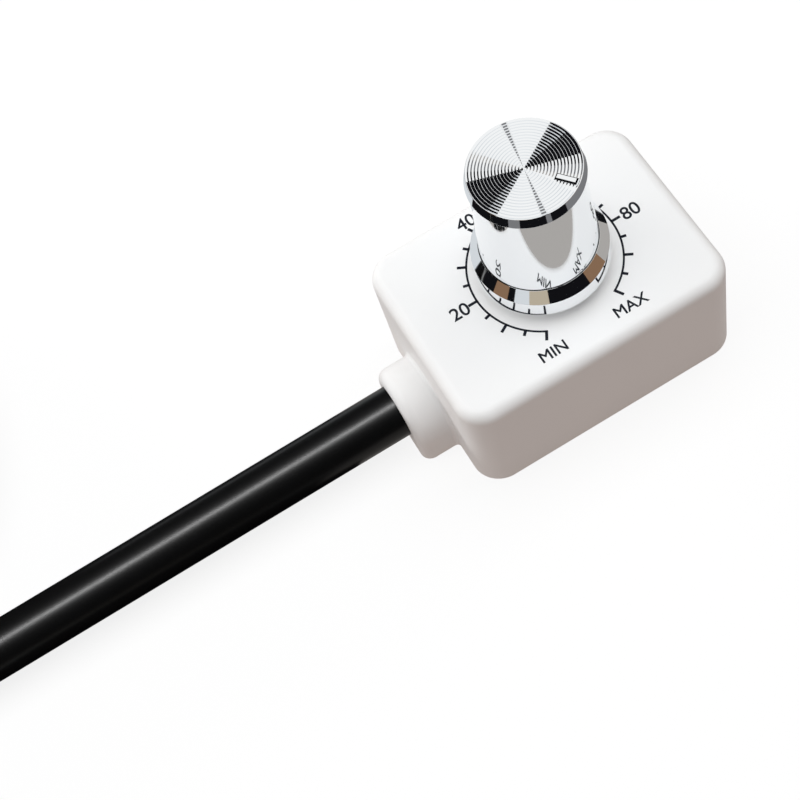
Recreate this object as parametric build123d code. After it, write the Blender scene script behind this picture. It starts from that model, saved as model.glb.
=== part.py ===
from build123d import *
import math
import os

# Frame: millimetres, +Z up, origin at the middle of the box's base.
# The cable leaves along -X, and the long front face looks along -Y.

# Box: white moulded shell, open below
HOUSING_LENGTH = 38.8
HOUSING_WIDTH = 28.4
HOUSING_HEIGHT = 18.7
CORNER_RADIUS = 3.9
TOP_EDGE_RADIUS = 1.6
SIDE_WALL = 2.0
TOP_WALL = 2.2

# Arched collar that the cable leaves through
COLLAR_LENGTH = 5.1
COLLAR_WIDTH = 12.4
COLLAR_HEIGHT = 10.5
COLLAR_EDGE_RADIUS = 1.5
COLLAR_ROOT_RADIUS = 0.6
EDGE_TOLERANCE = 1e-4

# Bottom cover, let into the shell, and its countersunk screws
COVER_THICKNESS = 1.6
COVER_RIM = 1.0
COVER_CLEARANCE = 0.1
SCREW_DIAMETER = 2.2
SCREW_LENGTH = 8.0
SCREW_TIP_LENGTH = 1.2
SCREW_HEAD_DIAMETER = 4.0
SCREW_HEAD_HEIGHT = 1.0
SCREW_RECESS = 0.1
SCREW_CLEARANCE = 0.05
POST_DIAMETER = 5.0
POST_EMBED = 0.5

# Potentiometer axis, measured from the middle of the box
AXIS_X = 0.4
AXIS_Y = 0.92

# Potentiometer frame: plate, threaded bushing and locating tab
POT_DIAMETER = 16.4
FRAME_THICKNESS = 1.2
BUSHING_DIAMETER = 7.0
BUSHING_LENGTH = 6.5
BUSHING_CHAMFER = 0.4
BUSHING_CLEARANCE = 0.1
TAB_RADIUS = 6.9
TAB_WIDTH = 2.4
TAB_THICKNESS = 1.0
TAB_HEIGHT = 1.3
TAB_CLEARANCE = 0.15
CLENCH_WIDTH = 2.6
CLENCH_HEIGHT = 0.9
CLENCH_CLEARANCE = 0.1
CLENCH_ANGLES = (-90.0, -30.0, 30.0, 90.0)

# Washer and nut on the box top
WASHER_DIAMETER = 11.0
WASHER_THICKNESS = 0.5
NUT_FLATS = 10.0
NUT_SIDES = 6
NUT_THICKNESS = 2.0
NUT_CHAMFER = 0.45
NUT_CLEARANCE = 0.03

# Wafer with the resistive track, and its terminals
WAFER_THICKNESS = 1.2
WAFER_HOLE_DIAMETER = 7.6
WAFER_CLEARANCE = 0.1
TONGUE_WIDTH = 13.4
TONGUE_REACH = 2.2
TERMINAL_PITCH = 5.0
TERMINAL_WIDTH = 2.0
TERMINAL_THICKNESS = 0.4
TERMINAL_OVERLAP = 3.8
TERMINAL_REACH = 2.2
TERMINAL_EYE_INSET = 1.1

# Can that closes the potentiometer from behind
CAN_WALL = 0.4
CAN_DEPTH = 6.6
CAN_EDGE_RADIUS = 0.8
WINDOW_CLEARANCE = 0.2

# Turning parts of the potentiometer
SHAFT_DIAMETER = 6.0
SHAFT_LENGTH = 20.0
SHAFT_CLEARANCE = 0.04
SHAFT_CHAMFER = 0.5
SPLINE_COUNT = 18
SPLINE_LENGTH = 9.0
SPLINE_DEPTH = 0.35
SPLIT_WIDTH = 1.0
SPLIT_DEPTH = 7.5
STOP_COLLAR_DIAMETER = 7.2
STOP_COLLAR_THICKNESS = 0.8
STOP_COLLAR_CLEARANCE = 0.1
JOURNAL_DIAMETER = 4.0
RIVET_LENGTH = 0.6
ROTOR_DIAMETER = 12.4
ROTOR_THICKNESS = 1.8
ROTOR_CLEARANCE = 0.02
TRACK_GAP = 0.6
TRACK_RADIUS = 5.0
WIPER_WIDTH = 1.6
WIPER_THICKNESS = 0.25
WIPER_SPAN = 110.0
CONTACT_DIAMETER = 1.0
CONTACT_GAP = 0.05
CLIP_DIAMETER = 8.4
CLIP_THICKNESS = 0.5
CLIP_GROOVE_DIAMETER = 4.6
CLIP_OPENING = 3.6
CLIP_CLEARANCE = 0.1

# Plated knob; heights are above the box top
KNOB_GAP = 1.7
KNOB_HEIGHT = 21.9
FLANGE_DIAMETER = 17.5
FLANGE_TAPER = 0.1
FLANGE_TOP = 4.5
FLANGE_EDGE = 0.15
SHOULDER_TOP = 6.35
SHOULDER_DIAMETER = 15.5
FOOT_DIAMETER = 15.0
NECK_DIAMETER = 13.9
RIM_DIAMETER = 14.4
RIM_HEIGHT = 1.45
RIM_TAPER = 0.25
SKIRT_DEPTH = 3.0
SKIRT_DIAMETER = 14.4
CAVITY_DIAMETER = 11.2
KNOB_CEILING = 1.8
GROOVE_COUNT = 17
GROOVE_DEPTH = 0.12
POINTER_START = 3.9
POINTER_END = 6.6
POINTER_WIDTH = 0.6
POINTER_HEIGHT = 0.22
POINTER_ANGLE = -52.0

# Ribbed sleeve that grips the shaft inside the knob
INSERT_DIAMETER = 9.0
INSERT_LENGTH = 13.0
INSERT_CLEARANCE = 0.05
RIB_COUNT = 4
RIB_THICKNESS = 1.2

# Cable, its tail in the box and the strain relief tie
CABLE_DIAMETER = 7.3
CABLE_HEIGHT = 5.5
BORE_CLEARANCE = 0.05
TAIL_REACH = 4.6
TIE_WIDTH = 3.4
TIE_THICKNESS = 1.1
TIE_SETBACK = 0.1
TIE_CLEARANCE = 0.05
TIE_HEAD_WIDTH = 5.0
TIE_HEAD_HEIGHT = 3.0
TIE_POCKET_CLEARANCE = 0.15

# Cores from the tail to the terminals
CORE_DIAMETER = 2.2
CORE_SPACING = 2.8
CORE_BEND_RADIUS = 1.5
CORE_RISE = 4.7
SLEEVE_WALL = 0.45
SLEEVE_LENGTH = 2.4
SLEEVE_CLEARANCE = 0.05

# Put-away length of the cable: straight lead, then a flat coil of two lanes
LEAD_RUN = 93.5
COIL_RADIUS = 36.5
COIL_INNER_TURN = 210.0
COIL_JOG_START = 280.0
COIL_END_RADIUS = 28.0
COIL_END_TURN = 50.0
COIL_TIE_TURN = 105.0
COIL_TIE_WIDTH = 6.0
COIL_TIE_THICKNESS = 0.8
COIL_TIE_CLEARANCE = 0.2
STRIP_LENGTH = 9.0
TIP_LENGTH = 6.0
TIP_DIAMETER = 1.1

# Levels and places that follow from the sizes above
BOX_TOP = HOUSING_HEIGHT
MOUNT_FACE = HOUSING_HEIGHT - TOP_WALL
FRAME_UNDERSIDE = MOUNT_FACE - FRAME_THICKNESS
WAFER_UNDERSIDE = FRAME_UNDERSIDE - WAFER_THICKNESS
ROTOR_TOP = WAFER_UNDERSIDE - TRACK_GAP
ROTOR_UNDERSIDE = ROTOR_TOP - ROTOR_THICKNESS
BUSHING_TOP = MOUNT_FACE + BUSHING_LENGTH
CAN_RADIUS = POT_DIAMETER / 2
WAFER_RADIUS = CAN_RADIUS - CAN_WALL - WAFER_CLEARANCE
TERMINAL_TIP = AXIS_X - CAN_RADIUS - TONGUE_REACH - TERMINAL_REACH
EYE_X = TERMINAL_TIP + TERMINAL_EYE_INSET
TERMINAL_UNDERSIDE = WAFER_UNDERSIDE - TERMINAL_THICKNESS
END_FACE = -HOUSING_LENGTH / 2
END_WALL_INNER = END_FACE + SIDE_WALL
COLLAR_FACE = END_FACE - COLLAR_LENGTH
TAIL_END = END_WALL_INNER + TAIL_REACH
CABLE_RADIUS = CABLE_DIAMETER / 2
POST_X = HOUSING_LENGTH / 2 - SIDE_WALL - POST_DIAMETER / 2 + POST_EMBED
POST_Y = HOUSING_WIDTH / 2 - SIDE_WALL - POST_DIAMETER / 2 + POST_EMBED
KNOB_FOOT = BOX_TOP + KNOB_GAP
KNOB_TOP = BOX_TOP + KNOB_HEIGHT
KNOB_CEILING_LEVEL = KNOB_TOP - KNOB_CEILING
COIL_LEVEL = COIL_TIE_THICKNESS + COIL_TIE_CLEARANCE + CABLE_RADIUS
OUTER_LANE = COIL_RADIUS + CABLE_RADIUS
INNER_LANE = COIL_RADIUS - CABLE_RADIUS
COIL_X = COLLAR_FACE - LEAD_RUN
COIL_Y = OUTER_LANE

AXIS = Pos(AXIS_X, AXIS_Y, 0)
POSTS = [Pos(x, y, 0) for x in (-POST_X, POST_X) for y in (-POST_Y, POST_Y)]


def disc(diameter, low, high):
    """Upright cylinder about Z between two levels."""
    return extrude(Plane.XY.offset(low) * Circle(diameter / 2), high - low)


def slab(length, width, low, high, radius=0.0):
    """Upright block about Z between two levels, with rounded corners where a radius is given."""
    outline = RectangleRounded(length, width, radius) if radius > 0 else Rectangle(length, width)
    return extrude(Plane.XY.offset(low) * outline, high - low)


def lathe(points):
    """Solid of revolution about Z from (radius, level) points."""
    outline = Polyline(*[(radius, 0, level) for radius, level in points], close=True)
    return revolve(make_face(outline), Axis.Z)


def along_x(sketch, start, end):
    """Extrudes a sketch, drawn in Y and Z, along X from start to end."""
    return extrude(Plane.YZ.offset(min(start, end)) * sketch, abs(end - start))


def arch():
    """Collar section: round above, straight sides down to the base."""
    half = COLLAR_WIDTH / 2
    spring = COLLAR_HEIGHT - half
    legs = Polyline((-half, spring), (-half, 0), (half, 0), (half, spring))
    return make_face(legs + ThreePointArc((half, spring), (0, COLLAR_HEIGHT), (-half, spring)))


def collar():
    """Arched collar with its outer edge rounded, sharp along the base."""
    body = along_x(arch(), COLLAR_FACE, END_FACE + SIDE_WALL / 2)
    end_edges = body.faces().sort_by(Axis.X)[0].edges().sort_by(Axis.Z)
    return fillet(end_edges[1:], COLLAR_EDGE_RADIUS)


def is_collar_root(edge):
    """Whether an edge lies where the collar grows out of the box's end face."""
    box = edge.bounding_box()
    on_end_face = max(abs(box.min.X - END_FACE), abs(box.max.X - END_FACE)) < EDGE_TOLERANCE
    beside_collar = max(abs(box.min.Y), abs(box.max.Y)) < COLLAR_WIDTH / 2 + EDGE_TOLERANCE
    return on_end_face and beside_collar and box.max.Z > EDGE_TOLERANCE


def upper_shell():
    """Box with walls, collar, bore, screw posts, bushing hole and the slot for the locating tab."""
    box = slab(HOUSING_LENGTH, HOUSING_WIDTH, 0, BOX_TOP, CORNER_RADIUS)
    top_edges = box.edges().group_by(Axis.Z)[-1]
    box = fillet(top_edges, TOP_EDGE_RADIUS) + collar()
    root = box.edges().filter_by(is_collar_root)
    box = fillet(root, COLLAR_ROOT_RADIUS)
    inner_length = HOUSING_LENGTH - 2 * SIDE_WALL
    inner_width = HOUSING_WIDTH - 2 * SIDE_WALL
    box -= slab(inner_length, inner_width, 0, MOUNT_FACE, CORNER_RADIUS - SIDE_WALL)
    post = disc(POST_DIAMETER, COVER_THICKNESS, MOUNT_FACE)
    box += [place * post for place in POSTS]
    seat_length = HOUSING_LENGTH - 2 * COVER_RIM
    seat_width = HOUSING_WIDTH - 2 * COVER_RIM
    box -= slab(seat_length, seat_width, 0, COVER_THICKNESS, CORNER_RADIUS - COVER_RIM)
    pilot_top = SCREW_RECESS + SCREW_LENGTH + SCREW_TIP_LENGTH
    pilot = disc(SCREW_DIAMETER + 2 * SCREW_CLEARANCE, 0, pilot_top)
    box -= [place * pilot for place in POSTS]
    bore = Pos(0, CABLE_HEIGHT) * Circle(CABLE_RADIUS + BORE_CLEARANCE)
    box -= along_x(bore, COLLAR_FACE, END_WALL_INNER)
    box -= AXIS * disc(BUSHING_DIAMETER + 2 * BUSHING_CLEARANCE, MOUNT_FACE, BOX_TOP)
    slot = slab(TAB_WIDTH + 2 * TAB_CLEARANCE, TAB_THICKNESS + 2 * TAB_CLEARANCE,
                MOUNT_FACE, MOUNT_FACE + TAB_HEIGHT + TAB_CLEARANCE)
    return box - AXIS * Pos(0, TAB_RADIUS, 0) * slot


def bottom_cover():
    """Plate in the shell's rebate, countersunk for the screws, with a pocket under the tie."""
    margin = COVER_RIM + COVER_CLEARANCE
    plate = slab(HOUSING_LENGTH - 2 * margin, HOUSING_WIDTH - 2 * margin, 0, COVER_THICKNESS,
                 CORNER_RADIUS - margin)
    head = SCREW_HEAD_DIAMETER / 2 + SCREW_CLEARANCE
    neck = SCREW_DIAMETER / 2 + SCREW_CLEARANCE
    sink = lathe([(0, 0), (head, 0), (head, SCREW_RECESS), (neck, SCREW_RECESS + SCREW_HEAD_HEIGHT),
                  (neck, COVER_THICKNESS), (0, COVER_THICKNESS)])
    plate -= [place * sink for place in POSTS]
    reach = CABLE_RADIUS + TIE_CLEARANCE + TIE_THICKNESS + TIE_POCKET_CLEARANCE
    start = END_WALL_INNER + TIE_SETBACK - TIE_POCKET_CLEARANCE
    end = END_WALL_INNER + TIE_SETBACK + TIE_WIDTH + TIE_POCKET_CLEARANCE
    return plate - along_x(Pos(0, CABLE_HEIGHT) * Circle(reach), start, end)


def cover_screws():
    """Four countersunk self-tapping screws, driven from below."""
    low = SCREW_RECESS
    shank = SCREW_DIAMETER / 2
    screw = lathe([(0, low), (SCREW_HEAD_DIAMETER / 2, low), (shank, low + SCREW_HEAD_HEIGHT),
                   (shank, low + SCREW_LENGTH - SCREW_TIP_LENGTH), (0, low + SCREW_LENGTH)])
    return [place * screw for place in POSTS]


def clench_notch(width, low, high):
    """Blocks at the plate's edge where the can's tabs are folded up, one at each clench angle."""
    depth = CAN_WALL + CLENCH_CLEARANCE
    block = Pos(CAN_RADIUS - depth / 2, 0, 0) * slab(depth, width, low, high)
    return [AXIS * Rot(0, 0, angle) * block for angle in CLENCH_ANGLES]


def pot_frame():
    """Front plate with the bushing and the tab that keeps the potentiometer from turning."""
    plate = disc(POT_DIAMETER, FRAME_UNDERSIDE, MOUNT_FACE)
    bushing = disc(BUSHING_DIAMETER, MOUNT_FACE, BUSHING_TOP)
    bushing = chamfer(bushing.edges().group_by(Axis.Z)[-1], BUSHING_CHAMFER)
    tab = Pos(0, TAB_RADIUS, 0) * slab(TAB_WIDTH, TAB_THICKNESS, MOUNT_FACE, MOUNT_FACE + TAB_HEIGHT)
    frame = plate + bushing + tab
    frame -= disc(SHAFT_DIAMETER + 2 * SHAFT_CLEARANCE, FRAME_UNDERSIDE, BUSHING_TOP)
    notch_width = CLENCH_WIDTH + 2 * CLENCH_CLEARANCE
    return AXIS * frame - clench_notch(notch_width, FRAME_UNDERSIDE, MOUNT_FACE)


def pot_can():
    """Drawn cup with a window for the wafer's tongue and four clenching tabs."""
    floor = FRAME_UNDERSIDE - CAN_DEPTH
    can = disc(POT_DIAMETER, floor, FRAME_UNDERSIDE)
    can = fillet(can.edges().group_by(Axis.Z)[0], CAN_EDGE_RADIUS)
    can -= disc(POT_DIAMETER - 2 * CAN_WALL, floor + CAN_WALL, FRAME_UNDERSIDE)
    window_low = TERMINAL_UNDERSIDE - WINDOW_CLEARANCE
    window = slab(POT_DIAMETER, TONGUE_WIDTH + 2 * WINDOW_CLEARANCE, window_low, FRAME_UNDERSIDE)
    can -= Pos(-CAN_RADIUS, 0, 0) * window
    ring = disc(POT_DIAMETER, FRAME_UNDERSIDE, FRAME_UNDERSIDE + CLENCH_HEIGHT)
    ring -= disc(POT_DIAMETER - 2 * CAN_WALL, FRAME_UNDERSIDE, FRAME_UNDERSIDE + CLENCH_HEIGHT)
    tabs = [AXIS * ring & block
            for block in clench_notch(CLENCH_WIDTH, FRAME_UNDERSIDE, FRAME_UNDERSIDE + CLENCH_HEIGHT)]
    return AXIS * can + tabs


def pot_wafer():
    """Phenolic disc with a clear hole and the tongue that carries the terminals."""
    reach = CAN_RADIUS + TONGUE_REACH
    wafer = disc(2 * WAFER_RADIUS, WAFER_UNDERSIDE, FRAME_UNDERSIDE)
    wafer += Pos(-reach / 2, 0, 0) * slab(reach, TONGUE_WIDTH, WAFER_UNDERSIDE, FRAME_UNDERSIDE)
    return AXIS * (wafer - disc(WAFER_HOLE_DIAMETER, WAFER_UNDERSIDE, FRAME_UNDERSIDE))


def pot_terminals():
    """Three tinned lugs on the tongue's underside."""
    length = TERMINAL_OVERLAP + TERMINAL_REACH
    lug = slab(length, TERMINAL_WIDTH, TERMINAL_UNDERSIDE, WAFER_UNDERSIDE)
    middle = TERMINAL_TIP + length / 2
    return [Pos(middle, AXIS_Y + step * TERMINAL_PITCH, 0) * lug for step in (-1, 0, 1)]


def pot_washer():
    """Flat washer on the box top."""
    hole = BUSHING_DIAMETER + 2 * BUSHING_CLEARANCE
    high = BOX_TOP + WASHER_THICKNESS
    return AXIS * (disc(WASHER_DIAMETER, BOX_TOP, high) - disc(hole, BOX_TOP, high))


def pot_nut():
    """Hexagon nut with its upper corners turned down."""
    low = BOX_TOP + WASHER_THICKNESS
    high = low + NUT_THICKNESS
    hexagon = RegularPolygon(NUT_FLATS / 2, NUT_SIDES, major_radius=False)
    corner = NUT_FLATS / 2 / math.cos(math.pi / NUT_SIDES)
    turned = lathe([(0, low), (corner, low), (corner, high - NUT_CHAMFER),
                    (corner - 2 * NUT_CHAMFER, high), (0, high)])
    nut = extrude(Plane.XY.offset(low) * hexagon, NUT_THICKNESS) & turned
    return AXIS * (nut - disc(BUSHING_DIAMETER + 2 * NUT_CLEARANCE, low, high))


def pot_shaft():
    """Shaft with journal, stop collar, clip groove, splines and a split end."""
    radius = SHAFT_DIAMETER / 2
    top = MOUNT_FACE + SHAFT_LENGTH
    collar_top = FRAME_UNDERSIDE - STOP_COLLAR_CLEARANCE
    collar_low = collar_top - STOP_COLLAR_THICKNESS
    groove_low = BUSHING_TOP + CLIP_CLEARANCE / 2
    groove_high = groove_low + CLIP_THICKNESS + CLIP_CLEARANCE
    journal = JOURNAL_DIAMETER / 2
    stop = STOP_COLLAR_DIAMETER / 2
    groove = CLIP_GROOVE_DIAMETER / 2
    shaft = lathe([(0, ROTOR_UNDERSIDE - RIVET_LENGTH), (journal, ROTOR_UNDERSIDE - RIVET_LENGTH),
                   (journal, collar_low), (stop, collar_low), (stop, collar_top), (radius, collar_top),
                   (radius, groove_low), (groove, groove_low), (groove, groove_high),
                   (radius, groove_high), (radius, top - SHAFT_CHAMFER), (radius - SHAFT_CHAMFER, top),
                   (0, top)])
    tooth = 2 * math.pi * radius / SPLINE_COUNT
    flute = Polyline((radius - SPLINE_DEPTH, 0), (radius + SPLINE_DEPTH, tooth / 2),
                     (radius + SPLINE_DEPTH, -tooth / 2), close=True)
    flute = extrude(Plane.XY.offset(top - SPLINE_LENGTH) * make_face(flute), SPLINE_LENGTH)
    shaft -= [Rot(0, 0, 360 * tooth_number / SPLINE_COUNT) * flute for tooth_number in range(SPLINE_COUNT)]
    return AXIS * (shaft - slab(SHAFT_DIAMETER, SPLIT_WIDTH, top - SPLIT_DEPTH, top))


def shaft_clip():
    """Open retaining ring in the shaft's groove, just above the bushing."""
    low = BUSHING_TOP + CLIP_CLEARANCE
    high = low + CLIP_THICKNESS
    ring = disc(CLIP_DIAMETER, low, high) - disc(CLIP_GROOVE_DIAMETER + CLIP_CLEARANCE, low, high)
    return AXIS * (ring - Pos(CLIP_DIAMETER / 2, 0, 0) * slab(CLIP_DIAMETER, CLIP_OPENING, low, high))


def pot_rotor():
    """Contact carrier riveted to the shaft's lower end."""
    rotor = disc(ROTOR_DIAMETER, ROTOR_UNDERSIDE, ROTOR_TOP)
    return AXIS * (rotor - disc(JOURNAL_DIAMETER + 2 * ROTOR_CLEARANCE, ROTOR_UNDERSIDE, ROTOR_TOP))


def pot_wiper():
    """Spring contact: a strip on the carrier with a raised tip at each end, under the track."""
    high = ROTOR_TOP + WIPER_THICKNESS
    middle = (TRACK_RADIUS - WIPER_WIDTH / 2, TRACK_RADIUS + WIPER_WIDTH / 2)
    section = Polyline((middle[0], 0, ROTOR_TOP), (middle[1], 0, ROTOR_TOP), (middle[1], 0, high),
                       (middle[0], 0, high), close=True)
    strip = revolve(make_face(section), Axis.Z, WIPER_SPAN)
    tip = Pos(TRACK_RADIUS, 0, 0) * disc(CONTACT_DIAMETER, high, WAFER_UNDERSIDE - CONTACT_GAP)
    inset = math.degrees(CONTACT_DIAMETER / TRACK_RADIUS)
    tips = [Rot(0, 0, angle) * tip for angle in (inset, WIPER_SPAN - inset)]
    return AXIS * Rot(0, 0, POINTER_ANGLE - WIPER_SPAN / 2) * (strip + tips)


def knob_outline():
    """Half section of the knob: flange, shoulder with a ledge, body, rim, grooved top and hollow."""
    flange = FLANGE_DIAMETER / 2
    shoulder = SHOULDER_DIAMETER / 2
    foot = FOOT_DIAMETER / 2
    neck = NECK_DIAMETER / 2
    rim = RIM_DIAMETER / 2
    skirt = SKIRT_DIAMETER / 2
    cavity = CAVITY_DIAMETER / 2
    skirt_level = KNOB_FOOT + SKIRT_DEPTH
    shoulder_level = BOX_TOP + SHOULDER_TOP
    rim_level = KNOB_TOP - RIM_HEIGHT
    top_radius = rim - RIM_TAPER
    pitch = top_radius / (GROOVE_COUNT + 0.5)
    grooves = []
    for number in range(GROOVE_COUNT):
        crest = top_radius - number * pitch
        grooves += [(crest, KNOB_TOP), (crest - pitch / 2, KNOB_TOP - GROOVE_DEPTH)]
    return [(skirt, KNOB_FOOT), (flange - FLANGE_EDGE, KNOB_FOOT), (flange, KNOB_FOOT + FLANGE_EDGE),
            (flange - FLANGE_TAPER, BOX_TOP + FLANGE_TOP), (shoulder, shoulder_level),
            (foot, shoulder_level), (neck, rim_level), (rim, rim_level), *grooves, (0, KNOB_TOP),
            (0, KNOB_CEILING_LEVEL), (cavity, KNOB_CEILING_LEVEL), (cavity, skirt_level),
            (skirt, skirt_level)]


def knob():
    """Hollow plated knob with a raised pointer bar on its grooved top."""
    turned = lathe(knob_outline())
    length = POINTER_END - POINTER_START
    bar = slab(length, POINTER_WIDTH, KNOB_TOP - GROOVE_DEPTH, KNOB_TOP + POINTER_HEIGHT)
    turned += Rot(0, 0, POINTER_ANGLE) * Pos(POINTER_START + length / 2, 0, 0) * bar
    return AXIS * turned


def knob_insert():
    """Sleeve on the splines, held in the knob's hollow by ribs."""
    low = KNOB_CEILING_LEVEL - INSERT_LENGTH
    sleeve = disc(INSERT_DIAMETER, low, KNOB_CEILING_LEVEL)
    reach = CAVITY_DIAMETER / 2 - INSERT_CLEARANCE
    rib = Pos(reach / 2, 0, 0) * slab(reach, RIB_THICKNESS, low, KNOB_CEILING_LEVEL)
    sleeve += [Rot(0, 0, 360 * number / RIB_COUNT) * rib for number in range(RIB_COUNT)]
    return AXIS * (sleeve - disc(SHAFT_DIAMETER + 2 * INSERT_CLEARANCE, low, KNOB_CEILING_LEVEL))


def cable_tail():
    """End of the jacket, in the collar's bore and the box."""
    return along_x(Pos(0, CABLE_HEIGHT) * Circle(CABLE_RADIUS), COLLAR_FACE, TAIL_END)


def tail_tie():
    """Tie round the tail, behind the end wall, with its head on top."""
    inner = CABLE_RADIUS + TIE_CLEARANCE
    outer = inner + TIE_THICKNESS
    ring = Circle(outer) + Pos(0, inner + TIE_HEAD_HEIGHT / 2) * Rectangle(TIE_HEAD_WIDTH, TIE_HEAD_HEIGHT)
    start = END_WALL_INNER + TIE_SETBACK
    return along_x(Pos(0, CABLE_HEIGHT) * (ring - Circle(inner)), start, start + TIE_WIDTH)


def core(side, terminal):
    """One core from the tail's face up to the underside of a terminal."""
    start_y = side * CORE_SPACING / 2
    end_y = AXIS_Y + terminal * TERMINAL_PITCH
    route = FilletPolyline((TAIL_END, start_y, CABLE_HEIGHT), (EYE_X, start_y, CABLE_HEIGHT),
                           (EYE_X, end_y, CABLE_HEIGHT + CORE_RISE), (EYE_X, end_y, TERMINAL_UNDERSIDE),
                           radius=CORE_BEND_RADIUS)
    section = Plane(route @ 0, z_dir=route % 0) * Circle(CORE_DIAMETER / 2)
    return sweep(section, route)


def core_sleeves():
    """Two shrink sleeves round the upright ends of the cores."""
    bore = CORE_DIAMETER + 2 * SLEEVE_CLEARANCE
    high = TERMINAL_UNDERSIDE
    low = high - SLEEVE_LENGTH
    tube = disc(bore + 2 * SLEEVE_WALL, low, high) - disc(bore, low, high)
    return [Pos(EYE_X, AXIS_Y + terminal * TERMINAL_PITCH, 0) * tube for terminal in (-1, 0)]


def cable():
    """Free stretch of the jacket: one straight run that comes down a little to the coil's level."""
    section = Plane.YZ.offset(COLLAR_FACE) * Pos(0, CABLE_HEIGHT) * Circle(CABLE_RADIUS)
    run = Vector(-LEAD_RUN, 0, COIL_LEVEL - CABLE_HEIGHT)
    return extrude(section, run.length, dir=run)


def coil_plane(turn, radius, centre):
    """Section plane of the coil, a clockwise turn from where the lead joins it: x outward, y up."""
    angle = math.radians(-90 - turn)
    outward = Vector(math.cos(angle), math.sin(angle), 0)
    return Plane(centre + outward * radius, x_dir=outward, z_dir=outward.cross(Vector(0, 0, 1)))


COIL_CENTRE = Vector(COIL_X, COIL_Y, COIL_LEVEL)
END_CENTRE = coil_plane(COIL_INNER_TURN, INNER_LANE - COIL_END_RADIUS, COIL_CENTRE).origin
END_PLANE = coil_plane(COIL_INNER_TURN + COIL_END_TURN, COIL_END_RADIUS, END_CENTRE)


def cable_coil():
    """Outer shape of the coil: two lanes, the jog from the outer to the inner one, and the loose end."""
    upright = Axis(COIL_CENTRE, (0, 0, 1))
    section = Circle(CABLE_RADIUS)
    both = coil_plane(COIL_INNER_TURN, COIL_RADIUS, COIL_CENTRE)
    lanes = revolve(both * SlotOverall(2 * CABLE_DIAMETER, CABLE_DIAMETER), upright, COIL_INNER_TURN)
    outer = coil_plane(COIL_JOG_START, OUTER_LANE, COIL_CENTRE)
    lane = revolve(outer * section, upright, COIL_JOG_START - COIL_INNER_TURN)
    inner = coil_plane(360, INNER_LANE, COIL_CENTRE)
    jog = sweep(outer * section, Spline(outer.origin, inner.origin, tangents=(outer.z_dir, inner.z_dir)))
    tail = revolve(END_PLANE * section, Axis(END_CENTRE, (0, 0, 1)), COIL_END_TURN)
    return lanes + [lane, jog, tail]


def coil_tie():
    """Flat tie round both lanes of the coil."""
    place = coil_plane(COIL_TIE_TURN, COIL_RADIUS, COIL_CENTRE)
    inner = SlotOverall(2 * (CABLE_DIAMETER + COIL_TIE_CLEARANCE), CABLE_DIAMETER + 2 * COIL_TIE_CLEARANCE)
    outer = SlotOverall(2 * (CABLE_DIAMETER + COIL_TIE_CLEARANCE + COIL_TIE_THICKNESS),
                        CABLE_DIAMETER + 2 * (COIL_TIE_CLEARANCE + COIL_TIE_THICKNESS))
    return extrude(place * (outer - inner), COIL_TIE_WIDTH / 2, both=True)


def lead(side, diameter, start, length):
    """Straight stretch of a stripped core, measured from the jacket's cut end."""
    ahead = END_PLANE.offset(start)
    return extrude(ahead * Pos(side * CORE_SPACING / 2, 0) * Circle(diameter / 2), length)


def build():
    """Every node by name; a list is a group of separate solids in one node."""
    return {
        "upper_shell": upper_shell(),
        "bottom_cover": bottom_cover(),
        "cover_screws": cover_screws(),
        "pot_frame": pot_frame(),
        "pot_can": pot_can(),
        "pot_wafer": pot_wafer(),
        "pot_terminals": pot_terminals(),
        "pot_washer": pot_washer(),
        "pot_nut": pot_nut(),
        "pot_shaft": pot_shaft(),
        "shaft_clip": shaft_clip(),
        "pot_rotor": pot_rotor(),
        "pot_wiper": pot_wiper(),
        "knob": knob(),
        "knob_insert": knob_insert(),
        "cable_tail": cable_tail(),
        "tail_tie": tail_tie(),
        "core_black": core(-1, -1),
        "core_white": core(1, 0),
        "core_sleeves": core_sleeves(),
        "cable": cable(),
        "cable_coil": cable_coil(),
        "coil_tie": coil_tie(),
        "lead_black": lead(-1, CORE_DIAMETER, 0, STRIP_LENGTH),
        "lead_white": lead(1, CORE_DIAMETER, 0, STRIP_LENGTH),
        "lead_tips": [lead(side, TIP_DIAMETER, STRIP_LENGTH, TIP_LENGTH) for side in (-1, 1)],
    }


os.makedirs("parts", exist_ok=True)
for name, shape in build().items():
    export_step(Compound(children=shape) if isinstance(shape, list) else shape, f"parts/{name}.step")

section_area = math.pi * CABLE_RADIUS ** 2
print("cable volume over section times run:", cable().volume / (section_area * LEAD_RUN))
print("coil lane radii:", OUTER_LANE, INNER_LANE, "loose end radius:", COIL_END_RADIUS)
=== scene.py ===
"""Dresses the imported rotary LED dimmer: white moulded box, plated knob, printed scale and black cable."""

import logging
import math
from collections.abc import Callable, Mapping, Sequence
from dataclasses import dataclass
from enum import Enum

import bmesh
import bpy
from mathutils import Matrix, Vector


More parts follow.
